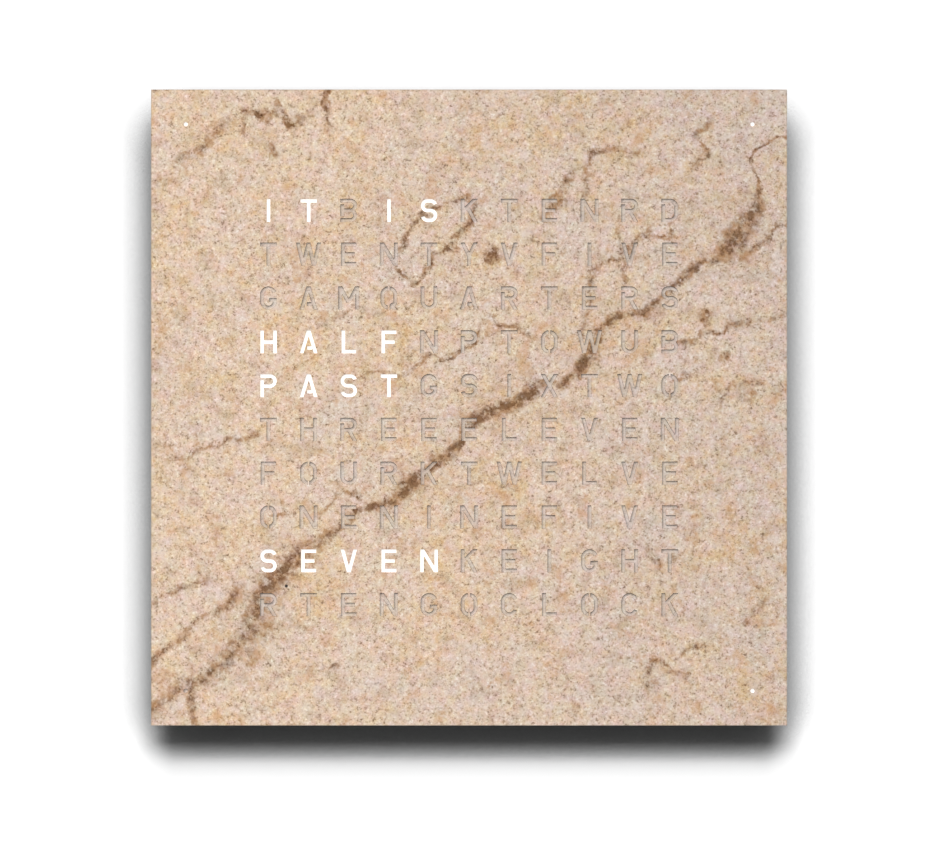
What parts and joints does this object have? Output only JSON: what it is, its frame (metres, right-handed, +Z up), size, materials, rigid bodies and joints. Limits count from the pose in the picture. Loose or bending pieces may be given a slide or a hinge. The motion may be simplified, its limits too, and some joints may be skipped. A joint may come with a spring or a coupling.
{
  "type": "word clock",
  "caption": "Square wall-hung word clock: sandstone face with cut-through letters lit from behind, shallow casing, keyhole hangers and side buttons.",
  "frame": {"origin": "on the wall plane, midway between the two keyhole entry holes", "axes": "+X to the right as the clock is read, +Z up, +Y into the wall; the stone face looks along -Y"},
  "size_m": [0.45, 0.025, 0.45],
  "materials": {
    "board_green": "green solder mask on glass-epoxy",
    "bumper_rubber": "soft black rubber",
    "button_grey": "matt dark grey caps",
    "capacitor_can": "aluminium can",
    "casing_black": "fine-textured black ABS",
    "cell_steel": "stainless steel can",
    "chip_black": "moulded epoxy",
    "connector_black": "black moulded nylon",
    "copper": "enamelled copper wire",
    "ferrite": "bare ferrite",
    "grid_white": "white reflective plastic",
    "jack_black": "black moulded socket",
    "lamp": "white LED package with yellow phosphor",
    "magnet_nickel": "nickel-plated neodymium",
    "opal": "translucent opal acrylic",
    "panel_black": "textured black ABS",
    "pin_steel": "ground steel dowel",
    "plate_steel": "zinc-plated pressed steel",
    "ribbon_grey": "grey PVC ribbon",
    "sandstone": "honed natural sandstone veneer, beige with brown veins",
    "screw_steel": "zinc-plated steel",
    "steel_carrier": "powder-coated steel sheet",
    "window_clear": "dark tinted acrylic"
  },
  "bodies": {
    "casing": {"antenna_clips": "panel_black", "antenna_coil": "copper", "antenna_rod": "ferrite", "board_screws": "screw_steel", "button_board": "board_green", "capacitors": "capacitor_can", "casing_frame": "casing_black", "clock_chip": "chip_black", "coin_cell": "cell_steel", "coin_cell_holder": "connector_black", "cover_magnets": "magnet_nickel", "dc_jack": "jack_black", "dc_jack_nut": "screw_steel", "grid_screws": "screw_steel", "keyhole_plate_left": "plate_steel", "keyhole_plate_right": "plate_steel", "keyhole_plate_screws": "screw_steel", "led_board_row_01": "board_green", "led_board_row_02": "board_green", "led_board_row_03": "board_green", "led_board_row_04": "board_green", "led_board_row_05": "board_green", "led_board_row_06": "board_green", "led_board_row_07": "board_green", "led_board_row_08": "board_green", "led_board_row_09": "board_green", "led_board_row_10": "board_green", "letter_leds": "lamp", "light_grid": "grid_white", "light_sensor": "window_clear", "main_board": "board_green", "microcontroller": "chip_black", "minute_led_boards": "board_green", "minute_leds": "lamp", "power_coil": "chip_black", "rear_panel": "panel_black", "rear_panel_screws": "screw_steel", "ribbon_connectors": "connector_black", "row_ribbon": "ribbon_grey", "sensor_window": "window_clear", "tact_switches": "connector_black", "wall_bumper_bottom_left": "bumper_rubber", "wall_bumper_bottom_right": "bumper_rubber", "wall_bumper_top_left": "bumper_rubber", "wall_bumper_top_right": "bumper_rubber"},
    "front_cover": {"stone_face": "sandstone", "carrier_plate": "steel_carrier", "letter_inserts": "opal", "minute_lenses": "opal", "diffuser_sheet": "opal", "locating_pins": "pin_steel"},
    "button_1": {"push_button_1": "button_grey", "switch_plunger_1": "button_grey"},
    "button_2": {"push_button_2": "button_grey", "switch_plunger_2": "button_grey"},
    "button_3": {"push_button_3": "button_grey", "switch_plunger_3": "button_grey"},
    "button_4": {"push_button_4": "button_grey", "switch_plunger_4": "button_grey"}
  },
  "joints": [
    {"name": "cover_pull", "type": "slide", "parent": "casing", "child": "front_cover", "axis": [0, -1, 0], "range_m": [0, 0.06]},
    {"name": "button_1_press", "type": "slide", "parent": "casing", "child": "button_1", "axis": [-1, 0, 0], "range_m": [0, 0.0008], "stiffness_N_per_m": 1000, "springref_m": -0.001},
    {"name": "button_2_press", "type": "slide", "parent": "casing", "child": "button_2", "axis": [-1, 0, 0], "range_m": [0, 0.0008], "stiffness_N_per_m": 1000, "springref_m": -0.001},
    {"name": "button_3_press", "type": "slide", "parent": "casing", "child": "button_3", "axis": [-1, 0, 0], "range_m": [0, 0.0008], "stiffness_N_per_m": 1000, "springref_m": -0.001},
    {"name": "button_4_press", "type": "slide", "parent": "casing", "child": "button_4", "axis": [-1, 0, 0], "range_m": [0, 0.0008], "stiffness_N_per_m": 1000, "springref_m": -0.001}
  ]
}
